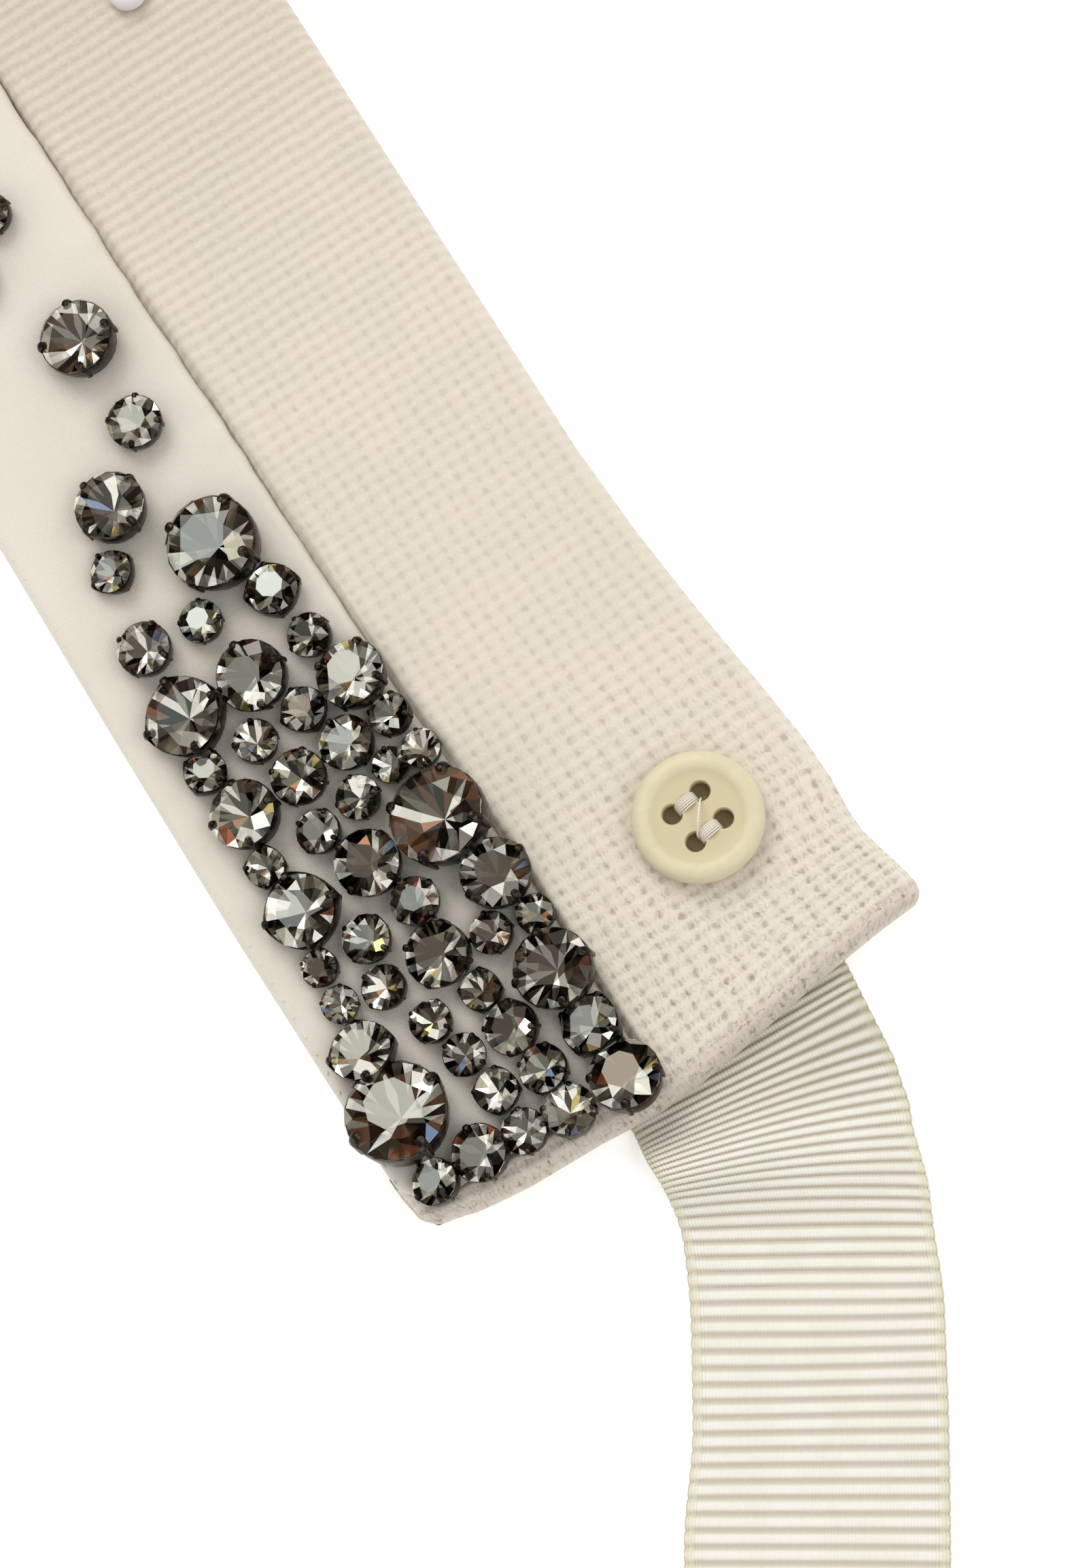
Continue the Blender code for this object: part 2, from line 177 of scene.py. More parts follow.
class Finish:
    """A material: its shader, its even values, and one method that adds any other node."""

    def __init__(self, name, even):
        self.material = bpy.data.materials.new(name)
        self.material.use_nodes = True
        self.tree = self.material.node_tree
        self.shader = self.tree.nodes["Principled BSDF"]
        for socket, value in even.items():
            self.shader.inputs[socket].default_value = value

    def plug(self, socket, value):
        if isinstance(value, Link):
            self.tree.links.new(value.socket, socket)
        else:
            socket.default_value = value

    def node(self, kind, settings=(), inputs=(), output=0):
        made = self.tree.nodes.new("ShaderNode" + kind)
        for name, value in dict(settings).items():
            if name == "stops":
                set_stops(made.color_ramp, value)
            else:
                setattr(made, name, value)
        for name, value in dict(inputs).items():
            self.plug(made.inputs[name], value)
        return Link(self, made.outputs[output])

    def mix(self, share, low, high, blend="MIX"):
        """Two colours mixed; one that isn't a shader value is red, green and blue from 0 to 255."""
        low, high = (end if isinstance(end, Link) else rgba(end) for end in (low, high))
        settings = {"data_type": "RGBA", "blend_type": blend}
        return self.node("Mix", settings, {0: share, 6: low, 7: high}, 2)

    def ramp(self, value, stops):
        """Colours by a value from 0 to 1, each of them even up to the next."""
        return self.node("ValToRGB", {"stops": stops}, {0: value})

    def reach(self, value, low, high):
        """0 below low, 1 above high, smooth between."""
        settings = {"interpolation_type": "SMOOTHSTEP"}
        return self.node("MapRange", settings, {0: value, 1: low, 2: high})

    def noise(self, place, scale, detail=2.0, rough=0.5, distortion=0.0):
        return self.node("TexNoise", {}, {
            "Vector": place, "Scale": scale, "Detail": detail, "Roughness": rough, "Distortion": distortion,
        })

    def cloth_place(self, layer):
        """The two coordinates of a layer of cloth coordinates, and both together."""
        place = self.node("UVMap", {"uv_map": layer})
        along = self.node("SeparateXYZ", {}, {0: place}, 0)
        across = self.node("SeparateXYZ", {}, {0: place}, 1)
        return along, across, place

    def object_place(self):
        return self.node("TexCoord", {}, {}, 3)

    def values(self, name):
        """Numbers that the mesh holds under a name."""
        return self.node("Attribute", {"attribute_name": name}, {}, 2)

    def bump(self, height, distance):
        return self.node("Bump", {}, {"Height": height, "Distance": distance, "Strength": 1.0})

    def feed(self, **links):
        for name, value in links.items():
            self.plug(self.shader.inputs[name.replace("_", " ")], value)
        return self.material


def set_stops(ramp, stops):
    ramp.interpolation = "CONSTANT"
    while len(ramp.elements) > 1:
        ramp.elements.remove(ramp.elements[-1])
    for i, (place, colour) in enumerate(stops):
        stop = ramp.elements.new(place) if i else ramp.elements[0]
        stop.position = place
        stop.color = rgba(colour)


def rgba(colour):
    """A shader colour from the red, green and blue that the eye reads, each from 0 to 255."""
    return tuple(((c / 255 + 0.055) / 1.055) ** 2.4 if c > 10 else c / 255 / 12.92 for c in colour) + (1.0,)


def grey(value):
    return (value, value, value, 1.0)


# Finishes

def pit(finish, along, across, reach_along, reach_across):
    """A soft round pit at each whole number of both coordinates, from 0 outside to 1 in its middle."""
    off_along = ((along + 0.5).fraction() - 0.5) / reach_along
    off_across = ((across + 0.5).fraction() - 0.5) / reach_across
    return 1 - finish.reach(off_along * off_along + off_across * off_across, 0.0, 1.0)


def wool_finish():
    """Knit with dark pits of painted shade, which fades into ridges away from the end and into fuzz on the
    border.
    """
    wool = Finish("oatmeal_wool_knit", {
        "Roughness": 0.92, "Sheen Weight": 0.2, "Sheen Roughness": 0.5, "Specular IOR Level": 0.25,
    })
    along, across, place = wool.cloth_place("knit")
    end = wool.values("near_end")
    slow = wool.noise(place, 0.35, 1.0) - 0.5
    quick = wool.noise(place, 2.6, 2.0) - 0.5
    drift = wool.noise(place, 2.1, 2.0) - 0.5
    bent_along = along + slow * 0.5 + quick * 0.35
    bent_across = across + slow * 0.4 + drift * 0.35
    valley = 0.5 + 0.5 * bent_along.wave()
    row = 0.5 + 0.5 * bent_across.wave()
    uneven = wool.reach(wool.noise(place, 0.8, 2.0), 0.30, 0.70)
    crisp = wool.reach(along, 128.0, 166.0)
    ribbed = 1 - wool.reach(along, 78.0, 128.0)
    border = wool.reach(end, 0.70, 0.95)
    # painted shade in the pits of the knit relief
    hole = pit(wool, bent_along, bent_across, 0.42, 0.24)
    hole = hole * (0.06 + 0.10 * uneven + (0.05 + 0.22 * uneven) * crisp) * (1 - 0.8 * border)
    hole = hole * (1 - 0.75 * ribbed)
    bar = 0.5 + 0.5 * (bent_across * LOOPS + drift * 1.2).wave()
    loops = wool.reach(wool.noise(place, 1.7, 2.0), 0.35, 0.6) * bar * (0.3 + 0.7 * valley)
    # painted shade in the valleys between the knit's ridges and between its lumps
    crease_shade = (0.06 + 0.17 * ribbed) * valley + (0.05 - 0.03 * ribbed) * row
    specks = wool.reach(wool.noise(place, 2.7, 3.0, 0.7), 0.55, 0.66) * (0.05 + 0.16 * crisp + 0.5 * border)
    # painted shade of the pits and valleys, together with the drawn loops and specks
    dark = hole + loops * (0.03 + 0.36 * crisp) + crease_shade + specks
    fuzz = wool.noise(place, 3.4, 3.0, 0.6)
    clouds = wool.reach(wool.noise(place, 0.14, 2.0), 0.35, 0.65)
    tone = wool.mix(clouds, (223, 213, 200), (219, 211, 196))
    # painted shade: the wool darker towards the middle of the collar
    tone = wool.mix(1 - wool.reach(along, 55.0, 110.0), tone, (210, 197, 184))
    # paler where the knit is crisp near the end
    tone = wool.mix(crisp * 0.5, tone, (234, 225, 209))
    tone = wool.mix(border * 0.65, tone, (201, 190, 181))
    colour = wool.mix(dark, tone, (142, 129, 112))
    colour = wool.mix(wool.reach(fuzz, 0.45, 0.75) * 0.25, colour, (240, 233, 222))
    raised = 0.8 * fuzz + 0.5 * wool.noise(place, 7.0, 2.0)
    return wool.feed(Base_Color=colour, Normal=wool.bump(raised, 0.00007))


def underside_finish():
    plain = Finish("wool_underside", {"Roughness": 0.95, "Specular IOR Level": 0.2})
    place = plain.object_place()
    colour = plain.mix(plain.noise(place, 900.0, 2.0), (206, 196, 180), (226, 218, 203))
    return plain.feed(Base_Color=colour, Normal=plain.bump(plain.noise(place, 1500.0), 0.0002))


def satin_finish():
    satin = Finish("ivory_satin", {
        "Roughness": 0.42, "Sheen Weight": 0.15, "Sheen Roughness": 0.35, "Specular IOR Level": 0.35,
    })
    along, across, place = satin.cloth_place("weave")
    warp = (along * 4.2).wave()
    weft = (across * 7.0 + along * 1.4).wave()
    slub = satin.noise(place, 0.9, 3.0)
    clouds = satin.reach(satin.noise(place, 0.09, 2.0), 0.3, 0.7)
    tone = satin.mix(clouds, (233, 226, 214), (229, 223, 210))
    colour = satin.mix((0.5 + 0.5 * weft) * 0.10, tone, (200, 192, 178))
    # painted shade round the crystals, multiplied into the satin's colour
    colour = satin.mix(satin.values("painted_stone_shade"), colour, (174, 178, 178), "MULTIPLY")
    weave = warp * 0.4 + weft * 0.6 + slub * 0.8
    rough = 0.40 + 0.12 * satin.noise(place, 0.5)
    return satin.feed(Base_Color=colour, Roughness=rough, Normal=satin.bump(weave, 0.000022))


def ribbon_finish():
    """Ribs by their count along the ribbon, painted shade in their valleys, warp across them, yellower
    selvedges, and painted shade in the bend.
    """
    ribbon = Finish("ivory_grosgrain", {
        "Roughness": 0.5, "Sheen Weight": 0.2, "Sheen Roughness": 0.3, "Specular IOR Level": 0.4,
    })
    half = RIBBON_WIDTH / 2
    along, across, place = ribbon.cloth_place("ribs")
    crest = 0.5 - 0.5 * along.wave()
    warp = (across * 3.05).wave()
    edge = ribbon.reach((across - half).size(), half - 1.15, half - 0.6)
    shade = 1 - ribbon.reach(along, 9.0, 20.0)
    clouds = ribbon.reach(ribbon.noise(place, 0.25, 2.0), 0.3, 0.7)
    tone = ribbon.mix(clouds, (248, 245, 237), (243, 241, 230))
    # painted shade in the valleys between the ribs
    colour = ribbon.mix((1 - ribbon.reach(crest, 0.0, 0.85)) * 0.76, tone, (198, 187, 169))
    colour = ribbon.mix((0.5 - 0.5 * warp) * 0.08, colour, (205, 198, 182))
    colour = ribbon.mix(edge * 0.6, colour, (224, 219, 188))
    colour = ribbon.mix(shade * (0.52 - 0.26 * crest), colour, (160, 153, 138), "MULTIPLY")
    raised = warp * 0.6 + ribbon.noise(place, 3.0, 2.0) * 0.5
    return ribbon.feed(Base_Color=colour, Normal=ribbon.bump(raised, 0.00006))


def button_finish():
    horn = Finish("cream_horn", {
        "Roughness": 0.42, "Specular IOR Level": 0.4, "Subsurface Weight": 0.12, "Subsurface Scale": 0.002,
    })
    grain = horn.noise(horn.object_place(), 420.0, 3.0, 0.6, 1.2)
    tone = horn.mix(horn.reach(grain, 0.3, 0.7), (216, 208, 177), (211, 203, 170))
    colour = horn.mix(horn.values("dished"), tone, (204, 193, 158))
    # painted shade down in the thread holes
    colour = horn.mix(horn.values("painted_hole_shade"), colour, (150, 130, 92))
    return horn.feed(Base_Color=colour, Roughness=0.38 + 0.14 * grain, Normal=horn.bump(grain, 0.00003))


def stud_finish():
    clear = Finish("milky_stud", {
        "Roughness": 0.14, "Specular IOR Level": 0.5, "Coat Weight": 0.4, "Subsurface Weight": 0.35,
        "Subsurface Scale": 0.002,
    })
    cloud = clear.noise(clear.object_place(), 600.0, 2.0)
    return clear.feed(Base_Color=clear.mix(cloud, (214, 211, 216), (232, 229, 226)))


def thread_finish():
    thread = Finish("ivory_thread", {"Roughness": 0.6, "Sheen Weight": 0.3, "Specular IOR Level": 0.35})
    along, across, _ = thread.cloth_place("twist")
    twist = (along * 3.2 + across).wave()
    colour = thread.mix(0.5 + 0.5 * twist, (226, 219, 202), (240, 235, 222))
    return thread.feed(Base_Color=colour, Normal=thread.bump(twist, 0.00002))


# Stone colours by share, which paint the facets' reflections and glints: those drawn for the facets, then
# the painted reflections of the tables
STONE_COLOURS = [
    (0.00, (16, 13, 11)), (0.19, (48, 40, 33)), (0.32, (90, 83, 70)), (0.44, (134, 130, 114)),
    (0.55, (186, 184, 170)), (0.64, (255, 253, 244)), (0.83, (112, 80, 58)), (0.87, (236, 214, 130)),
    (0.879, (150, 172, 214)), (0.887, (150, 92, 66)), (0.90, (100, 103, 99)), (0.93, (96, 96, 90)),
    (0.96, (84, 78, 70)),
]
# Painted glints: the glow of the brightest facets and of the tables
PAINTED_STONE_GLINTS = [
    (0.00, (0, 0, 0)), (0.64, (128, 127, 120)), (0.83, (0, 0, 0)), (0.90, (140, 144, 140)),
    (0.93, (106, 107, 100)), (0.96, (58, 54, 48)),
]
DRAWN_FACETS = 0.9
BROWN_FACET = 0.84
WARM_STONE = 9.4
WARM_SHARE = 0.3


def stone_finish(name, rough):
    """Facets whose colours and see-through shares are theirs from the mesh. The colours are painted
    reflections and glints, and the brightest ones glow as painted glints.
    """
    stone = Finish(name, {"Metallic": 1.0, "Roughness": rough, "Emission Strength": 1.0})
    chance = stone.values("facet")
    colour = stone.ramp(chance, STONE_COLOURS)
    painted_glint = stone.ramp(chance, PAINTED_STONE_GLINTS)
    return stone.feed(Base_Color=colour, Alpha=stone.values("cover"), Emission_Color=painted_glint)


def cup_finish():
    cup = Finish("dark_cup", {"Metallic": 1.0, "Roughness": 0.35})
    worn = cup.reach(cup.noise(cup.object_place(), 1400.0, 3.0, 0.6), 0.45, 0.72)
    colour = cup.mix(worn, (38, 33, 29), (92, 84, 74))
    return cup.feed(Base_Color=colour, Roughness=0.28 + 0.25 * worn)


# Shapes

NOISE_DRAWS = 4096


def smooth(t):
    t = np.clip(t, 0.0, 1.0)
    return t * t * (3 - 2 * t)


def fading(distance, reach):
    """1 at no distance, 0 from the reach on, smooth between."""
    return 1 - smooth(distance / reach)


def running(steps):
    """Running totals, from 0 before the first step."""
    return np.concatenate([[0.0], np.cumsum(steps)])


def between(rows, at):
    """Values of a two-column table at places in its first column, smooth from row to row."""
    at = np.asarray(at, float)
    value = np.full(at.shape, rows[0][1])
    for (start, low), (end, high) in zip(rows, rows[1:]):
        value = np.where(at > start, low + (high - low) * smooth((at - start) / (end - start)), value)
    return value


def straight_between(rows, at):
    return np.interp(at, *zip(*rows))


def on_band(place, across, height):
    """Points of the bowed band in metres."""
    place, across, height = np.broadcast_arrays(*(np.asarray(a, float) for a in (place, across, height)))
    side = np.where(place >= 0, 1.0, -1.0)
    turn = np.minimum(np.abs(place), BOW_HALF) / BOW_RADIUS
    past = np.maximum(np.abs(place) - BOW_HALF, 0.0)
    off = across - MID
    x = BOW_RADIUS * np.sin(turn) + past * np.cos(turn) - off * np.sin(turn)
    y = BOW_RADIUS * (1 - np.cos(turn)) + past * np.sin(turn) + off * np.cos(turn)
    return np.stack([side * x, y + SHIFT_Y, height], -1) * MM


def noise_of(seed, places, scale):
    """Smooth seeded noise from -1 to 1 along a line of places, with a new value every scale."""
    draws = np.random.default_rng(seed).uniform(-1, 1, NOISE_DRAWS)
    at = np.asarray(places, float) / scale + NOISE_DRAWS / 2
    low = np.floor(at).astype(int)
    return draws[low] + (draws[low + 1] - draws[low]) * smooth(at - low)


def grid_faces(rows, columns, start=0, wrap=False):
    """Faces between neighbouring rows of points; wrap joins the last column to the first."""
    i, j = np.meshgrid(np.arange(rows - 1), np.arange(columns if wrap else columns - 1), indexing="ij")
    k = (j + 1) % columns
    corners = [i * columns + j, (i + 1) * columns + j, (i + 1) * columns + k, i * columns + k]
    return (np.stack(corners, -1).reshape(-1, 4) + start).tolist()


def mesh_of(name, points, faces):
    mesh = bpy.data.meshes.new(name)
    mesh.from_pydata(np.asarray(points, float).reshape(-1, 3).tolist(), [], faces)
    return mesh


def new_object(name, data):
    made = bpy.data.objects.new(name, data)
    bpy.context.scene.collection.objects.link(made)
    return made


def dress(mesh, finishes, stands_for=()):
    """An object from a mesh, which rides on the collar and takes the finishes given."""
    for finish in finishes:
        mesh.materials.append(finish)
    made = new_object(mesh.name, mesh)
    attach(made, "root")
    if stands_for:
        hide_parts(*stands_for)
    return made


def piece(name, points, faces, finishes, layer=None, coordinates=None, stands_for=(),
          smooth_under=None):
    """A dressed object from points in metres. Its shading is smooth under an angle, if one is given."""
    mesh = mesh_of(name, points, faces)
    if layer:
        add_layer(mesh, layer, coordinates)
    if smooth_under:
        mesh.shade_smooth()
        mesh.set_sharp_from_angle(angle=radians(smooth_under))
    return dress(mesh, finishes, stands_for)


def add_layer(mesh, name, coordinates):
    """Cloth coordinates, two for each point, as a layer that the finish reads."""
    corners = np.zeros(len(mesh.loops), int)
    mesh.loops.foreach_get("vertex_index", corners)
    values = np.asarray(coordinates, float).reshape(-1, 2)[corners]
    mesh.uv_layers.new(name=name).data.foreach_set("uv", values.ravel())


def add_values(mesh, name, values, domain="POINT"):
    mesh.attributes.new(name, "FLOAT", domain).data.foreach_set("value", np.asarray(values, float).ravel())


def mirrored(points):
    return np.asarray(points) * (-1.0, 1.0, 1.0)


def turned_over(faces):
    return [face[::-1] for face in faces]


# Wool band

EDGE_ROUND = 1.7
EDGE_HEIGHT = 1.7
END_REACH = 14.0
FLARE_FROM = 32.0
CRYSTAL_SIDE_REACH = 10.0
FUZZ_REACH = 9.0
WOOL_FROM = 24.9
KNIT_PIT = 0.12
KNIT_LUMP = 0.05
KNIT_RIDGE = 0.06
KNIT_EDGE_REACH = 1.2
KNIT_CRISP_TO = 50.0
KNIT_CRISP_FADE = 42.0
SEAM_WIDTH = 0.42
SEAM_DIP = 1.5
BULGE = 0.22
BULGE_AT = 1.6
BULGE_WIDTH = 1.0
SEAM_REACH = 8
SATIN_REACH_END = 29.0
SATIN_OVER = 8.0
SATIN_TRIM = 0.2
SATIN_CORNER = 2.0
SATIN_CORNER_LENGTH = 3.6
SUNK_UNDER_SATIN = 1.3

# Heights and insets of the two steps under an edge of the wool
UNDER_LEVELS = [(0.6, 0.4), (0.0, 0.9)]


def knit_relief(along, across):
    """Height of the knit from its stitch coordinates: lumpy ridges across the band and pits between."""
    ridge = 0.5 - 0.5 * np.cos(2 * pi * along)
    lump = 0.5 - 0.5 * np.cos(2 * pi * across)
    return KNIT_RIDGE * ridge + KNIT_LUMP * ridge * lump - KNIT_PIT * ((1 - ridge) * (1 - lump)) ** 1.3


def wool_surface(from_end, across):
    """A point of the even knit on the collar: from the end, across, its height, and how far an edge is."""
    near_end = fading(from_end, END_REACH)
    moved_end = from_end + straight_between(END_LINE, across) * near_end
    wool_side = straight_between(WOOL_SIDE, moved_end)
    crystal_side = straight_between(CRYSTAL_SIDE, moved_end)
    moved = across + (wool_side - BAND_WIDTH) * smooth((across - FLARE_FROM) / (BAND_WIDTH - FLARE_FROM))
    moved = moved + crystal_side * fading(across, CRYSTAL_SIDE_REACH)
    to_edge = np.minimum(np.minimum(wool_side - moved, from_end), moved - crystal_side)
    inside = np.clip(1 - to_edge / EDGE_ROUND, 0.0, 1.0)
    height = EDGE_HEIGHT + (BAND_THICK - EDGE_HEIGHT) * np.sqrt(np.maximum(1 - inside ** 2, 0.0))
    return moved_end, moved, height, to_edge


def seam_height(from_end, across, height):
    """The wool bulges beside the satin seam, dips into it and goes on under the satin."""
    width = between(STRIP_WIDTHS, from_end)
    past = across - width
    pucker = 0.12 * noise_of(7, from_end, 2.3) + 0.08 * noise_of(8, from_end, 1.1)
    bulge = (BULGE + pucker) * np.exp(-((past - BULGE_AT) / BULGE_WIDTH) ** 2)
    dip = SEAM_DIP * fading(past, SEAM_WIDTH + 0.25 + 0.2 * pucker)
    by_satin = (past < SEAM_REACH) & (from_end > SATIN_FROM_END - 0.5)
    by_end = smooth((from_end - SATIN_FROM_END + 0.5) / 1.2)
    return np.where(by_satin, height + (bulge - dip) * by_end, height)


def wool_half(name, side):
    """One half of the wool band: knitted top, rounded edges and flat underside, as one closed piece."""
    step_along = COURSE / KNIT_STEPS
    from_end = np.linspace(HALF, 0.0, int(round(HALF / step_along)) + 1)
    shown = int(round((BAND_WIDTH - WOOL_FROM) / (WALE / KNIT_STEPS)))
    whole = int(round(BAND_WIDTH / (WALE / KNIT_STEPS)))
    step_across = BAND_WIDTH / whole
    main_across = BAND_WIDTH - np.arange(shown + 1)[::-1] * step_across
    border_across = BAND_WIDTH - np.arange(shown, whole + 1)[::-1] * step_across

    def patch(ends, across_row):
        """Rows of points in metres, each with what close_underneath needs to know of it."""
        end, across = np.meshgrid(ends, across_row, indexing="ij")
        moved_end, moved, height, to_edge = wool_surface(end, across)
        along_knit = (HALF - end) / COURSE
        across_knit = (BAND_WIDTH - across) / (step_across * KNIT_STEPS)
        crisp = 0.35 + 0.65 * smooth(to_edge / KNIT_EDGE_REACH)
        crisp = crisp * (0.5 + 0.5 * smooth((KNIT_CRISP_TO - end) / KNIT_CRISP_FADE))
        height = height + knit_relief(along_knit, across_knit) * crisp
        height = seam_height(moved_end, moved, height)
        inside = (moved < between(STRIP_WIDTHS, moved_end)) & (moved > satin_edge(moved_end) + 0.4)
        under_satin = inside & (across < SATIN_REACH_END) & (moved_end > SATIN_FROM_END + 0.35)
        height = np.where(under_satin, np.minimum(height, BAND_THICK - SUNK_UNDER_SATIN), height)
        hidden = (moved < WOOL_FROM + 1.2) & (moved_end > SATIN_OVER - 0.8)
        straight_down = hidden | (HALF - moved_end < 0.1)
        known = [along_knit, across_knit, fading(end, FUZZ_REACH), straight_down]
        return np.concatenate([on_band(HALF - moved_end, moved, height), np.stack(known, -1)], -1)

    main = patch(from_end, main_across)
    border = patch(from_end[-int(SATIN_OVER / step_along):], border_across)
    rows, columns, values = main.shape
    points = np.concatenate([main.reshape(-1, values), border.reshape(-1, values)])
    faces = grid_faces(rows, columns) + grid_faces(*border.shape[:2], start=rows * columns)
    return close_underneath(name, points, faces, side)


def satin_edge(from_end):
    """Distance across at which the satin turns down; near the end it leaves the corner of the wool bare."""
    corner = SATIN_CORNER * fading(from_end - SATIN_FROM_END, SATIN_CORNER_LENGTH)
    return straight_between(CRYSTAL_SIDE, from_end) + SATIN_TRIM + corner


def close_underneath(name, points, faces, side):
    """Draws the open edge of a top down and under, and closes it flat.

    A row of points holds a place, its knit coordinates, how near the end it is, and whether the cloth goes
    straight down from it.
    """
    shape = bmesh.new()
    knit_layer = shape.loops.layers.uv.new("knit")
    end_layer = shape.verts.layers.float.new("near_end")
    verts = [shape.verts.new(row[:3]) for row in points]
    for vert, row in zip(verts, points):
        vert[end_layer] = row[5]
    straight_down = {vert for vert, row in zip(verts, points) if row[6]}
    for face in faces:
        made = shape.faces.new([verts[i] for i in face])
        made.smooth = True
        for loop, i in zip(made.loops, face):
            loop[knit_layer].uv = points[i][3:5]
    bmesh.ops.remove_doubles(shape, verts=shape.verts, dist=0.00002)
    inward = rim_normals(open_edges(shape), straight_down)
    for height, inset in UNDER_LEVELS:
        grown = bmesh.ops.extrude_edge_only(shape, edges=open_edges(shape))["geom"]
        carried = {}
        for vert in [item for item in grown if isinstance(item, bmesh.types.BMVert)]:
            above = [edge.other_vert(vert) for edge in vert.link_edges if edge.other_vert(vert) in inward]
            old = min(above, key=lambda other: (other.co.xy - vert.co.xy).length)
            vert[end_layer] = old[end_layer]
            vert.co.z = height * MM
            vert.co.xy += inward[old] * inset * MM
            carried[vert] = inward[old]
        inward = carried
    bmesh.ops.holes_fill(shape, edges=open_edges(shape), sides=0)
    for face in shape.faces:
        if len(face.verts) > 4:
            face.material_index = 1
            face.smooth = False
    bmesh.ops.recalc_face_normals(shape, faces=shape.faces)
    if side < 0:
        for vert in shape.verts:
            vert.co.x = -vert.co.x
        bmesh.ops.reverse_faces(shape, faces=shape.faces)
    mesh = bpy.data.meshes.new(name)
    shape.to_mesh(mesh)
    shape.free()
    return mesh


def open_edges(shape):
    return [edge for edge in shape.edges if edge.is_boundary]


def rim_normals(rim, straight_down):
    """For each point of an open rim, the level way in under the cloth, or none where that goes down."""
    normals = {}
    for edge in rim:
        middle = edge.link_faces[0].calc_center_median()
        way = (edge.verts[1].co - edge.verts[0].co).xy
        across = Vector((-way.y, way.x))
        if across.dot((middle - edge.verts[0].co).xy) < 0:
            across.negate()
        for vert in edge.verts:
            normals[vert] = normals.get(vert, Vector((0, 0))) + across
    return {vert: Vector((0, 0)) if vert in straight_down else normal.normalized()
            for vert, normal in normals.items()}


def make_wool(knit, plain):
    for name, side in (("wool_near", 1), ("wool_far", -1)):
        made = dress(wool_half(name, side), [knit, plain], ["wool_band"])


# Satin strip

SATIN_STEP = 0.6
SATIN_COLUMNS = 46
SATIN_EDGE = 1.3
SATIN_UNDER = 0.02
SATIN_FLAPS = 4
SEAM_DROP = 0.55
SEAM_DROP_REACH = 0.5
EDGE_DROP = 0.10
EDGE_DROP_REACH = 3.0
END_DROP = 0.35
END_DROP_REACH = 0.9
STONE_SHADE = 0.23
STONE_SHADE_REACH = 1.3


def satin_folds(place, across, width):
    """Soft troughs of the satin: puckers from the seam and from its edge, and a few long shallow dents."""
    from_seam = width - across
    seam = 0.16 * noise_of(21, place, 2.1) * np.exp(-from_seam / 2.2)
    edge = 0.10 * noise_of(22, place, 2.6) * np.exp(-across / 2.0)
    long_dents = 0.16 * noise_of(23, place + across * 0.9, 13.0) * noise_of(24, across + place * 0.2, 9.0)
    return seam + edge + long_dents


def stone_shade(place, across):
    """How much the crystals round a point of the satin keep light from it."""
    shade = 0.0
    for row in CRYSTALS + [MIDDLE_CRYSTAL]:
        away = np.hypot(place - (HALF - row.from_end), across - row.across) - row.size / 2
        depth = STONE_SHADE * (0.5 + row.size / 12)
        shade = shade + depth * np.exp(-np.maximum(away, 0.0) / STONE_SHADE_REACH)
    return np.clip(shade, 0.0, 1.0)


def make_satin(satin, plain):
    """The strip from its seam over the crystal side of the band and back underneath, as one closed piece."""
    reach = HALF - SATIN_FROM_END
    places = np.linspace(-reach, reach, int(2 * reach / SATIN_STEP) + 1)
    from_end = HALF - np.abs(places)
    width = between(STRIP_WIDTHS, from_end)
    edge = satin_edge(from_end)
    wave = 0.11 * noise_of(25, places, 2.2)
    rows = []
    for share in np.linspace(1.0, 0.0, SATIN_COLUMNS):
        across = SATIN_EDGE + edge + (width + wave * share ** 8 - SATIN_EDGE - edge) * share
        height = BAND_THICK + satin_folds(places, across, width)
        height = height - SEAM_DROP * fading(width - across, SEAM_DROP_REACH)
        height = height - EDGE_DROP * fading(across, EDGE_DROP_REACH)
        height = height - END_DROP * fading(reach - np.abs(places), END_DROP_REACH)
        rows.append((across, height))
    top_edge = rows[-1][1]
    for turn in np.linspace(0, pi / 2, 6)[1:]:
        rows.append((SATIN_EDGE * (1 - np.sin(turn)) + edge, top_edge - SATIN_EDGE * (1 - np.cos(turn))))
    under = [
        (edge, 1.2), (edge + 0.3, 0.3), (edge + 1.1, SATIN_UNDER), (WOOL_FROM - 0.6, SATIN_UNDER),
        (WOOL_FROM - 0.5, 2.0), (width - 0.1, 2.3),
    ]
    rows += [np.broadcast_arrays(across, height, places)[:2] for across, height in under]
    columns = len(rows)
    points = np.stack([on_band(places, across, height) for across, height in rows], 1)
    steps = [np.hypot(b[0][0] - a[0][0], b[1][0] - a[1][0]) for a, b in zip(rows, rows[1:])]
    weave = np.stack(np.broadcast_arrays(places[:, None], running(steps)), -1)
    faces = grid_faces(len(places), columns, wrap=True)
    last = (len(places) - 1) * columns
    faces += [list(range(columns))[::-1], [last + i for i in range(columns)]]
    made = piece("satin_facing", points, faces, [satin, plain], "weave", weave,
                 stands_for=["satin_strip"], smooth_under=70)
    across_all = np.stack([across for across, _ in rows], 1)
    # painted shade of the crystals on the satin
    add_values(made.data, "painted_stone_shade", stone_shade(np.abs(places)[:, None], across_all))
    for face in made.data.polygons:
        if face.vertices[0] % columns >= columns - SATIN_FLAPS and len(face.vertices) == 4:
            face.material_index = 1


# Crystals

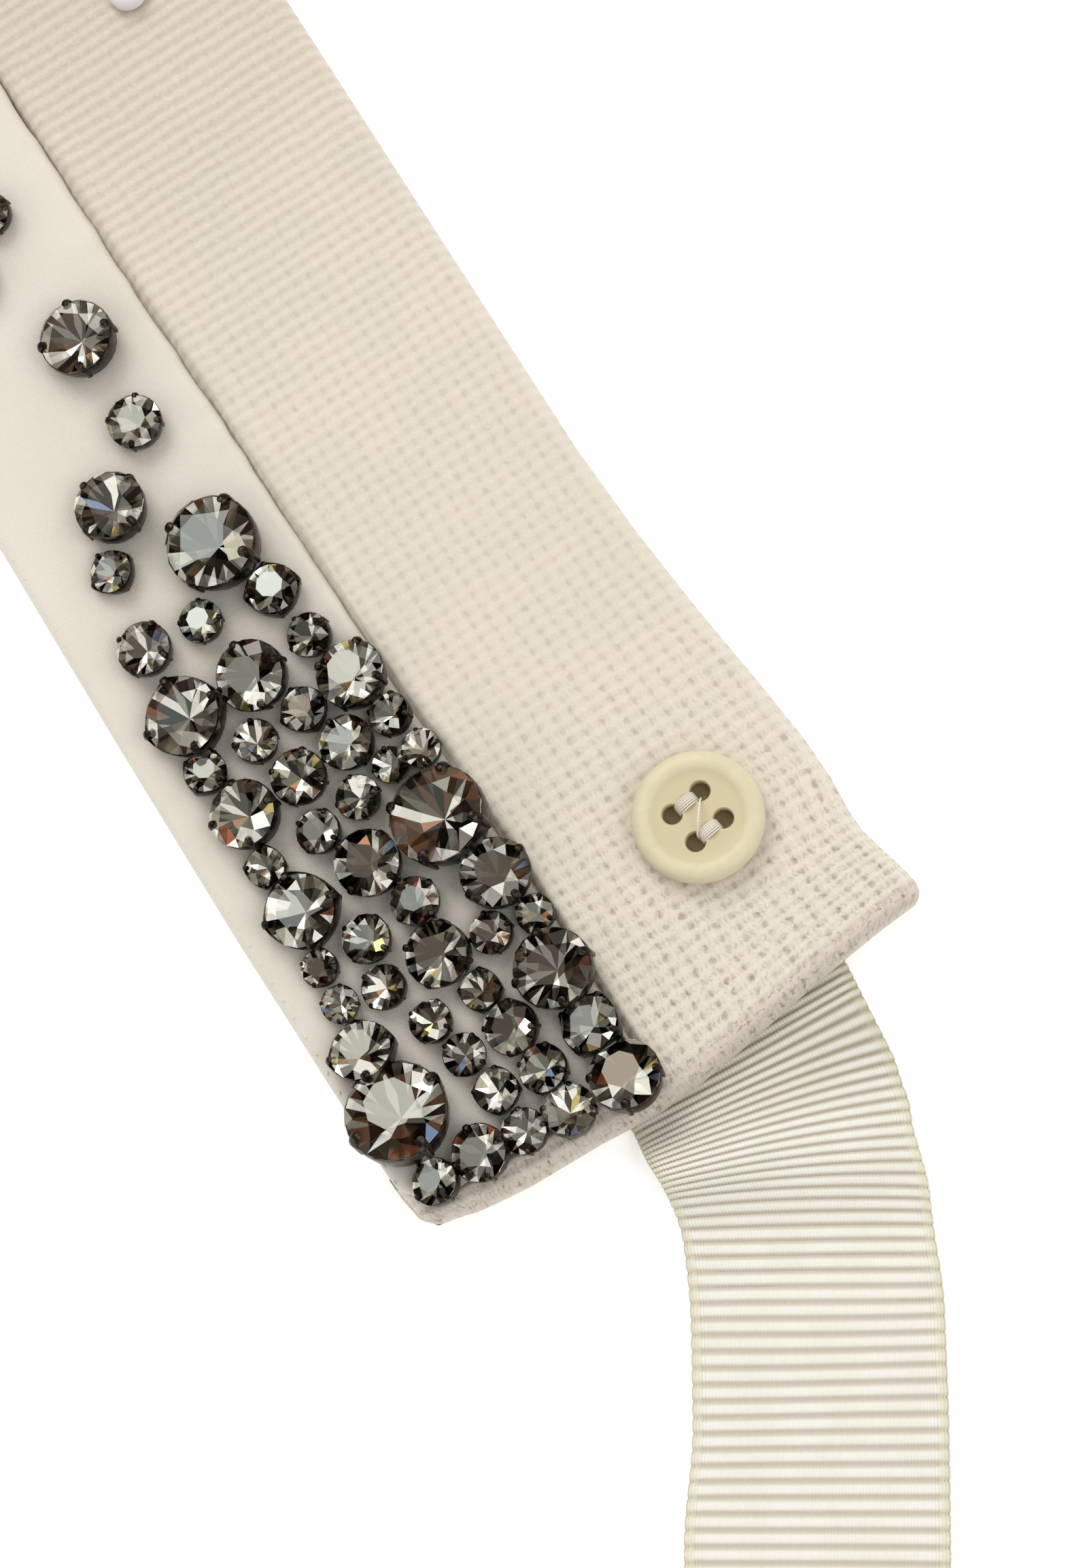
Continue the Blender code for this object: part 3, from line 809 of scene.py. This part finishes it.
GIRDLE_HEIGHT = 0.39
STONE_SHARE = 0.515
CROWN_RISE = 0.42
TABLE_SHARE = 0.52
CROWN_MIDDLE = 0.78
CROWN_MIDDLE_RISE = 0.66
GIRDLE_HALF = 0.035
FOIL_RADIUS = 0.97
FOIL_MIDDLE = 0.46
FOIL_MIDDLE_DEPTH = 0.32
FOIL_DEPTH = 0.46
BIG_STONE = 5.9
LEAN = 13.0
LEAN_SPREAD = 4.0
LEAN_TURN = 232.0
LEAN_TURN_SPREAD = 30.0
FACET_COVER = [0.14, 0.14, 0.20, 0.35, 0.60, 0.85]
TABLE_FACETS = [0.91, 0.91, 0.94, 0.94, 0.98]
TABLE_COVERS = [0.1, 0.25, 0.5, 0.7, 0.9]
BIG_STAR = 14
SMALL_STAR = 10
SQUARE_CUPS = 0.22
SQUARENESS = 0.3
CUP_SIDES = 24
CUP_RINGS = [
    (0.66, -0.76), (0.90, -0.66), (0.98, -0.36), (1.01, -0.10), (1.0, -0.04), (0.98, -0.04), (0.94, -0.12),
]
CLAW_SIDES = 8


def ring_points(count, radius, height, start=0.0):
    turns = (np.arange(count) + start) * 2 * pi / count
    return np.stack([radius * np.cos(turns), radius * np.sin(turns), np.full(count, height)], -1)


def crown_shape():
    """Points and facets of a round stone's upper side, of radius 1 at its girdle. The table comes first."""
    points = np.concatenate([
        ring_points(8, TABLE_SHARE, CROWN_RISE),
        ring_points(8, CROWN_MIDDLE, CROWN_RISE * CROWN_MIDDLE_RISE, 0.5),
        ring_points(16, 1.0, GIRDLE_HALF),
        ring_points(16, 1.0, -GIRDLE_HALF),
    ])
    middle, upper, lower = 8, 16, 32
    faces = [list(range(8))]
    for i in range(8):
        main = middle + i
        rim = upper + 2 * i
        faces.append([i, main, (i + 1) % 8])
        faces.append([i, middle + (i - 1) % 8, rim, main])
        faces.append([main, rim, rim + 1])
        faces.append([main, rim + 1, upper + (2 * i + 2) % 16])
    for i in range(16):
        j = (i + 1) % 16
        faces.append([upper + i, lower + i, lower + j, upper + j])
    return points, faces


def star_shape(mains):
    """Points and facets of the bright star that shows through the stone: a shallow bowl of facets."""
    rim = ring_points(2 * mains, FOIL_RADIUS, -0.02)
    ring = ring_points(mains, FOIL_MIDDLE, -FOIL_MIDDLE_DEPTH, 0.5)
    points = np.concatenate([rim, ring, [[0.0, 0.0, -FOIL_DEPTH]]])
    middle, tip = 2 * mains, 3 * mains
    faces = []
    for i in range(mains):
        main = middle + i
        faces.append([tip, middle + (i - 1) % mains, 2 * i, main])
        faces.append([main, 2 * i, 2 * i + 1])
        faces.append([main, 2 * i + 1, (2 * i + 2) % middle])
    return points, turned_over(faces)


def cup_shape(square):
    """Points and faces of an open dark cup with four claws round a stone of radius 1."""
    rings = []
    for radius, height in CUP_RINGS:
        ring = ring_points(CUP_SIDES, radius, height)
        turn = np.arctan2(ring[:, 1], ring[:, 0])
        corner = 1 / np.maximum(np.abs(np.cos(turn)), np.abs(np.sin(turn)))
        ring[:, :2] *= 1 + square * (corner[:, None] - 1)
        rings.append(ring)
    faces = grid_faces(len(rings), CUP_SIDES, wrap=True) + [list(range(CUP_SIDES))]
    points = np.concatenate(rings)
    claw, claw_faces = claw_shape(1.0 + 0.20 * square)
    for quarter in range(4):
        turn = Matrix.Rotation(pi / 4 + quarter * pi / 2, 3, "Z")
        faces += [[i + len(points) for i in face] for face in claw_faces]
        points = np.concatenate([points, claw @ np.array(turn).T])
    return points, faces


def claw_shape(out):
    """One claw: a rounded strap up the cup's side that folds over the girdle and ends in a rounded tip."""
    line = [
        (out - 0.02, -0.50, 0.08, 0.04), (out, -0.10, 0.10, 0.05), (out, 0.06, 0.11, 0.06),
        (out - 0.05, 0.15, 0.11, 0.07), (out - 0.12, 0.20, 0.11, 0.06), (out - 0.18, 0.21, 0.07, 0.04),
    ]
    points = []
    for i, (radius, height, half, thick) in enumerate(line):
        before, after = line[max(i - 1, 0)], line[min(i + 1, len(line) - 1)]
        way = Vector((after[0] - before[0], after[1] - before[1])).normalized()
        for step in range(CLAW_SIDES):
            turn = 2 * pi * step / CLAW_SIDES
            off = thick * cos(turn)
            points.append((radius + way.y * off, half * sin(turn), height - way.x * off))
    faces = grid_faces(len(line), CLAW_SIDES, wrap=True) + end_caps(len(line), CLAW_SIDES)
    return np.array(points), faces


class Facets:
    """Faces of many crystals on their way into one piece, with a colour and a cover for each."""

    def __init__(self):
        self.points = []
        self.faces = []
        self.colours = []
        self.covers = []

    def add(self, shape, place, side, colours=(), covers=()):
        points, faces = shape
        lie, centre, radius = place
        placed = points * radius * MM @ lie.T + centre
        start = sum(len(block) for block in self.points)
        shifted = [[i + start for i in face] for face in faces]
        self.points.append(mirrored(placed) if side < 0 else placed)
        self.faces.extend(turned_over(shifted) if side < 0 else shifted)
        self.colours.extend(colours)
        self.covers.extend(covers)

    def build(self, name, finish, slot, smooth_under=None):
        made = piece(name, np.concatenate(self.points), self.faces, [finish],
                     smooth_under=smooth_under)
        if self.colours:
            add_values(made.data, "facet", self.colours, "FACE")
            add_values(made.data, "cover", self.covers, "FACE")


def make_crystals(stone, foil, dark):
    chance = random.Random(447)
    crown = crown_shape()
    crowns, stars, cups = Facets(), Facets(), Facets()
    for row in CRYSTALS + [MIDDLE_CRYSTAL]:
        place = crystal_place(chance, row)
        cup = cup_shape(SQUARENESS if chance.random() < SQUARE_CUPS else 0.0)
        star = star_shape(BIG_STAR if row.size > BIG_STONE else SMALL_STAR)
        warm = WARM_SHARE if row.size > WARM_STONE else 0.0
        crown_colours = [facet_colour(chance, warm) for _ in crown[1]]
        # the table takes one of the painted table reflections
        crown_colours[0] = chance.choice(TABLE_FACETS)
        crown_covers = [chance.choice(FACET_COVER) for _ in crown[1]]
        crown_covers[0] = chance.choice(TABLE_COVERS)
        star_colours = [facet_colour(chance, warm) for _ in star[1]]
        for side in (1, -1) if row is not MIDDLE_CRYSTAL else (1,):
            crowns.add(crown, place, side, crown_colours, crown_covers)
            stars.add(star, place, side, star_colours, [1.0] * len(star_colours))
            cups.add(cup, place, side)
    crowns.build("crystal_stones", stone, "smoky_crystal")
    stars.build("crystal_foil", foil, "smoky_crystal")
    cups.build("crystal_cups", dark, "dark_cup", smooth_under=50)


def facet_colour(chance, warm):
    """A place in the stone colours; warm is the share of facets that are brown whatever is drawn."""
    return BROWN_FACET if chance.random() < warm else DRAWN_FACETS * chance.random()


def crystal_place(chance, row):
    """How a crystal of the near half leans and turns, where its girdle's middle is, and its radius."""
    toward = radians(chance.gauss(LEAN_TURN, LEAN_TURN_SPREAD))
    lean = radians(chance.gauss(LEAN, LEAN_SPREAD))
    axis = Vector((-sin(toward), cos(toward), 0.0))
    lie = Matrix.Rotation(lean, 3, axis) @ Matrix.Rotation(chance.uniform(0, 2 * pi), 3, "Z")
    centre = on_band(HALF - row.from_end, row.across, BAND_THICK + row.size * GIRDLE_HEIGHT)
    return np.array(lie), centre, row.size * STONE_SHARE


# Buttons and studs

# Rings of turned solids, as radius and height, from under the middle out and over to the middle
BUTTON_PROFILE = [
    (0.0, 0.0), (3.0, 0.0), (4.6, 0.0), (5.5, 0.2), (6.1, 0.6), (6.42, 1.0), (6.55, 1.45), (6.5, 1.8),
    (6.3, 2.15), (6.0, 2.4), (5.65, 2.53), (5.3, 2.56), (5.0, 2.5), (4.75, 2.38), (4.5, 2.24), (4.2, 2.15),
    (3.8, 2.11), (3.2, 2.1), (1.6, 2.08), (0.0, 2.07),
]
HOLE_PROFILE = [(0.0, 0.15), (1.0, 0.15), (1.0, 1.95), (1.35, 2.6), (0.0, 2.6)]
STUD_PROFILE = [
    (0.0, 0.0), (1.5, 0.0), (1.85, 0.15), (2.0, 0.5), (1.97, 0.85), (1.8, 1.2), (1.45, 1.5), (1.0, 1.66),
    (0.5, 1.7), (0.0, 1.71),
]
BUTTON_SIDES = 96
HOLE_SIDES = 32
STUD_SIDES = 48
DISH_RADIUS = 4.9
DISH_HEIGHT = 2.0
BUTTON_LIFT = 0.3
STRANDS = 6
STRAND_GAP = 0.17
STRAND_RADIUS = 0.10
LAST_STRAND_RADIUS = 0.11
STITCH_POINTS = 15
STITCH_FOOT = 0.3
STITCH_RISE = 1.8
STITCH_IN = 0.62
TUBE_HELPER = (0.31, 0.17, 0.94)


def turned(profile, sides):
    """Points and faces of a closed solid turned about Z from a profile."""
    rings = [ring_points(sides, radius, height) for radius, height in profile[1:-1]]
    points = np.concatenate([[(0.0, 0.0, profile[0][1])], *rings, [(0.0, 0.0, profile[-1][1])]])
    faces = turned_over(grid_faces(len(rings), sides, start=1, wrap=True))
    top = 1 + (len(rings) - 1) * sides
    for i in range(sides):
        j = (i + 1) % sides
        faces.append([0, 1 + j, 1 + i])
        faces.append([top + i, top + j, len(points) - 1])
    return points, faces


def make_button(name, side, horn, thread):
    centre = on_band(side * (HALF - BUTTON_FROM_END), BUTTON_ACROSS, BAND_THICK + BUTTON_LIFT)
    turns = [HOLE_TURN + 90 * i if side > 0 else 180 - HOLE_TURN - 90 * i for i in range(4)]
    holes = [HOLE_RING * np.array([cos(radians(turn)), sin(radians(turn)), 0.0]) for turn in turns]
    disc, faces = turned(BUTTON_PROFILE, BUTTON_SIDES)
    made = piece(name + "_disc", disc * MM + centre, faces, [horn], stands_for=[name])
    holed = bored(made, centre, holes)
    made.data = holed
    holed.shade_smooth()
    holed.set_sharp_from_angle(angle=radians(38))
    places = np.array([vert.co[:] for vert in holed.vertices]) / MM - centre / MM
    radii = np.hypot(places[:, 0], places[:, 1])
    add_values(holed, "dished", smooth((DISH_RADIUS - radii) / 0.5))
    # painted shade in the blind thread holes, darker deeper down
    add_values(holed, "painted_hole_shade", smooth((DISH_HEIGHT - places[:, 2]) / 0.8) * (radii < HOLE_RING + 1.2))
    make_button_thread(name, holes, centre / MM, thread)


def bored(made, centre, holes):
    """The mesh of a button with its holes cut out of it."""
    bore, bore_faces = turned(HOLE_PROFILE, HOLE_SIDES)
    faces = [[i + hole * len(bore) for i in face] for hole in range(len(holes)) for face in bore_faces]
    cutter = new_object("bores", mesh_of("bores", [(bore + hole) * MM + centre for hole in holes], faces))
    change = made.modifiers.new("Holes", "BOOLEAN")
    change.object = cutter
    change.solver = "EXACT"
    bpy.context.view_layer.update()
    mesh = bpy.data.meshes.new_from_object(made.evaluated_get(bpy.context.evaluated_depsgraph_get()))
    made.modifiers.clear()
    bpy.data.objects.remove(cutter)
    return mesh


def end_caps(rows, sides):
    return [list(range(sides)), [(rows - 1) * sides + i for i in range(sides)][::-1]]


def tube(line, radius, sides=8):
    """Points, faces and twist coordinates of a closed tube along a line of points."""
    line = np.asarray(line, float)
    ways = np.gradient(line, axis=0)
    ways /= np.linalg.norm(ways, axis=1)[:, None]
    first = np.cross(ways, TUBE_HELPER)
    first /= np.linalg.norm(first, axis=1)[:, None]
    second = np.cross(ways, first)
    turns = np.arange(sides) * 2 * pi / sides
    points = line[:, None] + radius * (
        first[:, None] * np.cos(turns)[:, None] + second[:, None] * np.sin(turns)[:, None])
    run = running(np.linalg.norm(np.diff(line, axis=0), axis=1))
    twist = np.stack(np.broadcast_arrays(run[:, None], turns / (2 * pi)), -1)
    faces = grid_faces(len(line), sides, wrap=True) + turned_over(end_caps(len(line), sides))
    return points.reshape(-1, 3), faces, twist.reshape(-1, 2)


def sew(name, tubes, thread):
    """One piece of thread from many tubes."""
    points, twist = (np.concatenate([made[k] for made in tubes]) for k in (0, 2))
    faces = []
    count = 0
    for tube_points, tube_faces, _ in tubes:
        faces += [[i + count for i in face] for face in tube_faces]
        count += len(tube_points)
    piece(name, points * MM, faces, [thread], "twist", twist, smooth_under=80)


def make_button_thread(name, holes, centre, thread):
    """Thread through the holes: a bundle between each pair of neighbours, and one strand across."""
    tubes = []
    for first, second in ((1, 2), (3, 0)):
        for strand in range(STRANDS):
            off = (strand - (STRANDS - 1) / 2) * STRAND_GAP
            tubes.append(tube(centre + stitch_line(holes[first], holes[second], off, 0.5), STRAND_RADIUS))
    tubes.append(tube(centre + stitch_line(holes[1], holes[3], 0.1, 0.95), LAST_STRAND_RADIUS))
    sew(name + "_thread", tubes, thread)


def stitch_line(start, end, off, rise):
    """A stitch up out of one hole, over the button's dish and down into another."""
    length = np.linalg.norm(end - start)
    way = (end - start) / length
    beside = np.array([-way[1], way[0], 0.0])
    share = np.linspace(0.0, 1.0, STITCH_POINTS)[:, None]
    bow = np.sin(pi * share)
    height = STITCH_FOOT + (STITCH_RISE + rise - 1.2 * off * off) * np.maximum(bow, 0.0) ** 0.45
    inward = STITCH_IN + (length - 2 * STITCH_IN) * smooth(share)
    return start + way * inward + beside * off * (1 + 0.25 * bow) + np.array([0, 0, 1]) * height


def make_stud(name, place, clear):
    points, faces = turned(STUD_PROFILE, STUD_SIDES)
    centre = on_band(place, STUD_ACROSS, BAND_THICK + BUTTON_LIFT)
    piece(name + "_dome", points * MM + centre, faces, [clear], stands_for=[name],
          smooth_under=60)


# Ribbon ties

RIB_PITCH = 1.55
RIB_STEPS = 8
RIB_HEIGHT = 0.30
RIB_PITCHES = [(0.0, 0.90), (12.0, 0.90), (15.0, 1.15), (18.0, 1.42), (30.0, RIB_PITCH)]
RIB_TURNS = [(0.0, 4.0), (14.0, 29.5), (18.0, 31.0)]
RIB_CURVE = 0.0045
RIB_WAVER = 0.16
RIBS_SLANT_TO = 24.0
RIBS_BEND_TO = 12.0
RIBS_FADE = 8.0
SCALLOP = 0.32
SELVEDGE = 0.45
INNER_TRIMS = [(6.0, 0.4), (14.0, 0.8), (30.0, 0.9), (36.0, 0.9), (48.0, 0.0)]
OUTER_TRIMS = [(4.0, -0.9), (7.0, -0.4), (10.0, 0.2), (16.0, 0.5), (26.0, 0.1), (36.0, 0.0)]
PUCKER_AT = 9.5
PUCKER_HALF = 9.0
PUCKER_INNER = 3.4
PUCKER_OUTER = 1.4
RIBBON_COLUMNS = 21
UNDER_SHARES = [0.998, 0.75, 0.5, 0.25, 0.002]
RIBBON_FLOOR = 0.02
RIBBON_STEP = 0.05


def ribbon_line():
    """Fine steps along a ribbon: how far along, out from the end and across, direction and ribs so far."""
    along = np.arange(-RIBBON_TUCK, RIBBON_LENGTH + RIBBON_STEP / 2, RIBBON_STEP)
    turn = np.radians(between(RIBBON_HEADINGS, along))
    middle = np.radians(between(RIBBON_HEADINGS, along[:-1] + RIBBON_STEP / 2))
    steps = [np.cos(middle), np.sin(middle), 1 / straight_between(RIB_PITCHES, along[:-1])]
    out, across, ribs = (running(step * RIBBON_STEP) for step in steps)
    return along, out - RIBBON_TUCK, across + RIBBON_ACROSS, turn, ribs


def ribbon_lift(along, share):
    near = 1 - np.abs(along - PUCKER_AT) / PUCKER_HALF
    return (PUCKER_INNER + (PUCKER_OUTER - PUCKER_INNER) * share) * smooth(near)


def make_ribbon(name, side, grosgrain):
    """A ribbon laid along its line, rib by rib, with a flat underside, as one closed piece."""
    along, out, across, turn, ribs = ribbon_line()
    marks = np.arange(0.0, ribs[-1], 1 / RIB_STEPS)
    along, out, across, turn = (np.interp(marks, ribs, line) for line in (along, out, across, turn))
    crest = np.sqrt(np.maximum(1 - (2 * (marks % 1.0) - 1) ** 2 * 0.96, 0.0))
    skew = np.radians(straight_between(RIB_TURNS, along)) + turn
    skew = np.tan(skew * fading(along - RIBS_SLANT_TO, RIBS_FADE))
    curve = RIB_CURVE * smooth(along / 4.0) * fading(along - RIBS_BEND_TO, RIBS_FADE)
    inner = between(INNER_TRIMS, along)
    outer = between(OUTER_TRIMS, along)
    even = np.linspace(0, 1, RIBBON_COLUMNS)
    top_shares = 0.5 - 0.175 * np.cos(pi * even) - 0.325 * (1 - 2 * even)
    points = []
    for column, share in enumerate([*top_shares, *UNDER_SHARES]):
        on_top = column < RIBBON_COLUMNS
        edge = min(share, 1 - share) * RIBBON_WIDTH
        width = RIBBON_WIDTH + on_top * SCALLOP * (crest - 0.5)
        off = (share - 0.5) * width + inner * (1 - share) - outer * share
        lift = ribbon_lift(along, share)
        if on_top:
            relief = RIB_HEIGHT * crest * (0.55 + 0.45 * smooth(edge / 1.1))
            lift = lift + RIBBON_WALL - RIB_HEIGHT + relief - SELVEDGE * fading(edge, SELVEDGE)
        else:
            lift = lift + RIBBON_FLOOR
        ahead = off * skew + off * off * curve + RIB_WAVER * noise_of(41, along * 0.7 + off * 0.4, 7.0)
        place = HALF + out - off * np.sin(turn) + ahead * np.cos(turn)
        points.append(on_band(place, across + off * np.cos(turn) + ahead * np.sin(turn), lift))
    points = np.stack(points, 1)
    rows, columns = points.shape[:2]
    on_ribbon = np.array([*top_shares, *UNDER_SHARES]) * RIBBON_WIDTH
    coordinates = np.stack(np.broadcast_arrays(marks[:, None], on_ribbon), -1)
    faces = grid_faces(rows, columns, wrap=True) + turned_over(end_caps(rows, columns))
    if side < 0:
        points = mirrored(points)
    else:
        faces = turned_over(faces)
    made = piece(name + "_tie", points, faces, [grosgrain], "ribs", coordinates,
                 stands_for=[name], smooth_under=75)


# Sewing

EDGE_STITCH_PITCH = 2.1
EDGE_STITCH_FROM_END = 1.5
EDGE_STITCH_IN = 0.85
EDGE_STITCH_HALF = 0.17
EDGE_STITCH_HEIGHTS = [3.02, 3.20, 3.02]


def make_edge_stitches(thread):
    """Tiny prick stitches just inside the turned edge of the satin."""
    reach = HALF - SATIN_FROM_END - EDGE_STITCH_FROM_END
    count = int(2 * reach / EDGE_STITCH_PITCH)
    tubes = []
    for i in range(count + 1):
        place = -reach + 2 * reach * i / count + 0.15 * noise_of(31, i * 5.0, 1.0)
        ends = place + EDGE_STITCH_HALF * np.array([-1, 0, 1])
        tubes.append(tube(on_band(ends, EDGE_STITCH_IN, EDGE_STITCH_HEIGHTS) / MM, STRAND_RADIUS, 6))
    sew("edge_stitches", tubes, thread)


# Stage, light and camera

PHOTO_HEIGHT = 2306
SENSOR = 36.0
MM_PER_PIXEL = 0.0665
CAMERA_DISTANCE = 450.0
CAMERA_TILT = 12.0
AIM_FROM_END = 32.9
AIM_ACROSS = 33.58
UP_TURN = 164.164
CAMERA_TURN = 14.164
FLOOR_REACH = 4.0
FLOOR_HEIGHT = -0.0003


def direction(turn, height):
    """A level turn from +X and a height above the table, both in degrees, as a direction."""
    turn, height = radians(turn), radians(height)
    return Vector((cos(turn) * cos(height), sin(turn) * cos(height), sin(height)))


def make_stage():
    sides = [(-1, -1), (1, -1), (1, 1), (-1, 1)]
    corners = [(x * FLOOR_REACH, y * FLOOR_REACH, FLOOR_HEIGHT) for x, y in sides]
    floor = new_object("floor", mesh_of("floor", corners, [[0, 1, 2, 3]]))
    white = Finish("white_table", {
        "Base Color": grey(0.93), "Roughness": 0.8, "Specular IOR Level": 0.1, "Emission Color": grey(1.0),
        "Emission Strength": 0.3,
    })
    floor.data.materials.append(white.material)


def make_light(name, turn, height, distance, width, power, colour):
    """A soft square lamp, by its direction in degrees and its distance and width in metres."""
    lamp = bpy.data.lights.new(name, "AREA")
    lamp.shape = "RECTANGLE"
    lamp.size = width
    lamp.size_y = width
    lamp.energy = power
    lamp.color = colour
    made = new_object(name, lamp)
    away = direction(turn, height)
    made.location = away * distance
    made.rotation_euler = away.to_track_quat("Z", "Y").to_euler()


def make_camera():
    lens = bpy.data.cameras.new("camera")
    lens.sensor_fit = "VERTICAL"
    lens.sensor_height = SENSOR
    lens.lens = SENSOR * CAMERA_DISTANCE / (PHOTO_HEIGHT * MM_PER_PIXEL)
    lens.clip_start = 0.02
    lens.clip_end = 20.0
    camera = new_object("camera", lens)
    aim = Vector(on_band(HALF - AIM_FROM_END, AIM_ACROSS, BAND_THICK))
    back = direction(CAMERA_TURN, 90 - CAMERA_TILT)
    right = direction(UP_TURN, 0).cross(back).normalized()
    turn = Matrix((right, back.cross(right), back)).transposed().to_4x4()
    camera.matrix_world = Matrix.Translation(aim + back * CAMERA_DISTANCE * MM) @ turn
    bpy.context.scene.camera = camera


def make_studio():
    scene = bpy.context.scene
    scene.view_settings.view_transform = "Standard"
    scene.view_settings.look = "None"
    world = bpy.data.worlds.new("studio")
    world.use_nodes = True
    sky = world.node_tree.nodes["Background"].inputs
    sky["Color"].default_value = (1.0, 0.98, 0.95, 1.0)
    sky["Strength"].default_value = 0.72
    scene.world = world
    make_light("key_light", UP_TURN + 28, 50, 3.0, 1.9, 42.0, (1.0, 0.99, 0.97))
    make_light("fill_light", UP_TURN - 110, 50, 3.0, 1.6, 16.0, (0.98, 0.99, 1.0))


def main():
    thread = thread_finish()
    horn = button_finish()
    clear = stud_finish()
    grosgrain = ribbon_finish()
    plain = underside_finish()
    make_wool(wool_finish(), plain)
    make_satin(satin_finish(), plain)
    make_crystals(stone_finish("smoky_stone", 0.05), stone_finish("stone_foil", 0.16), cup_finish())
    make_button("button_near", 1, horn, thread)
    make_button("button_far", -1, horn, thread)
    make_stud("stud_near", HALF - BUTTON_FROM_END - STUD_PITCH, clear)
    make_stud("stud_middle", 0.0, clear)
    make_stud("stud_far", BUTTON_FROM_END + STUD_PITCH - HALF, clear)
    make_ribbon("ribbon_near", 1, grosgrain)
    make_ribbon("ribbon_far", -1, grosgrain)
    make_edge_stitches(thread)
    make_stage()
    make_camera()
    make_studio()


main()
bpy.context.view_layer.update()
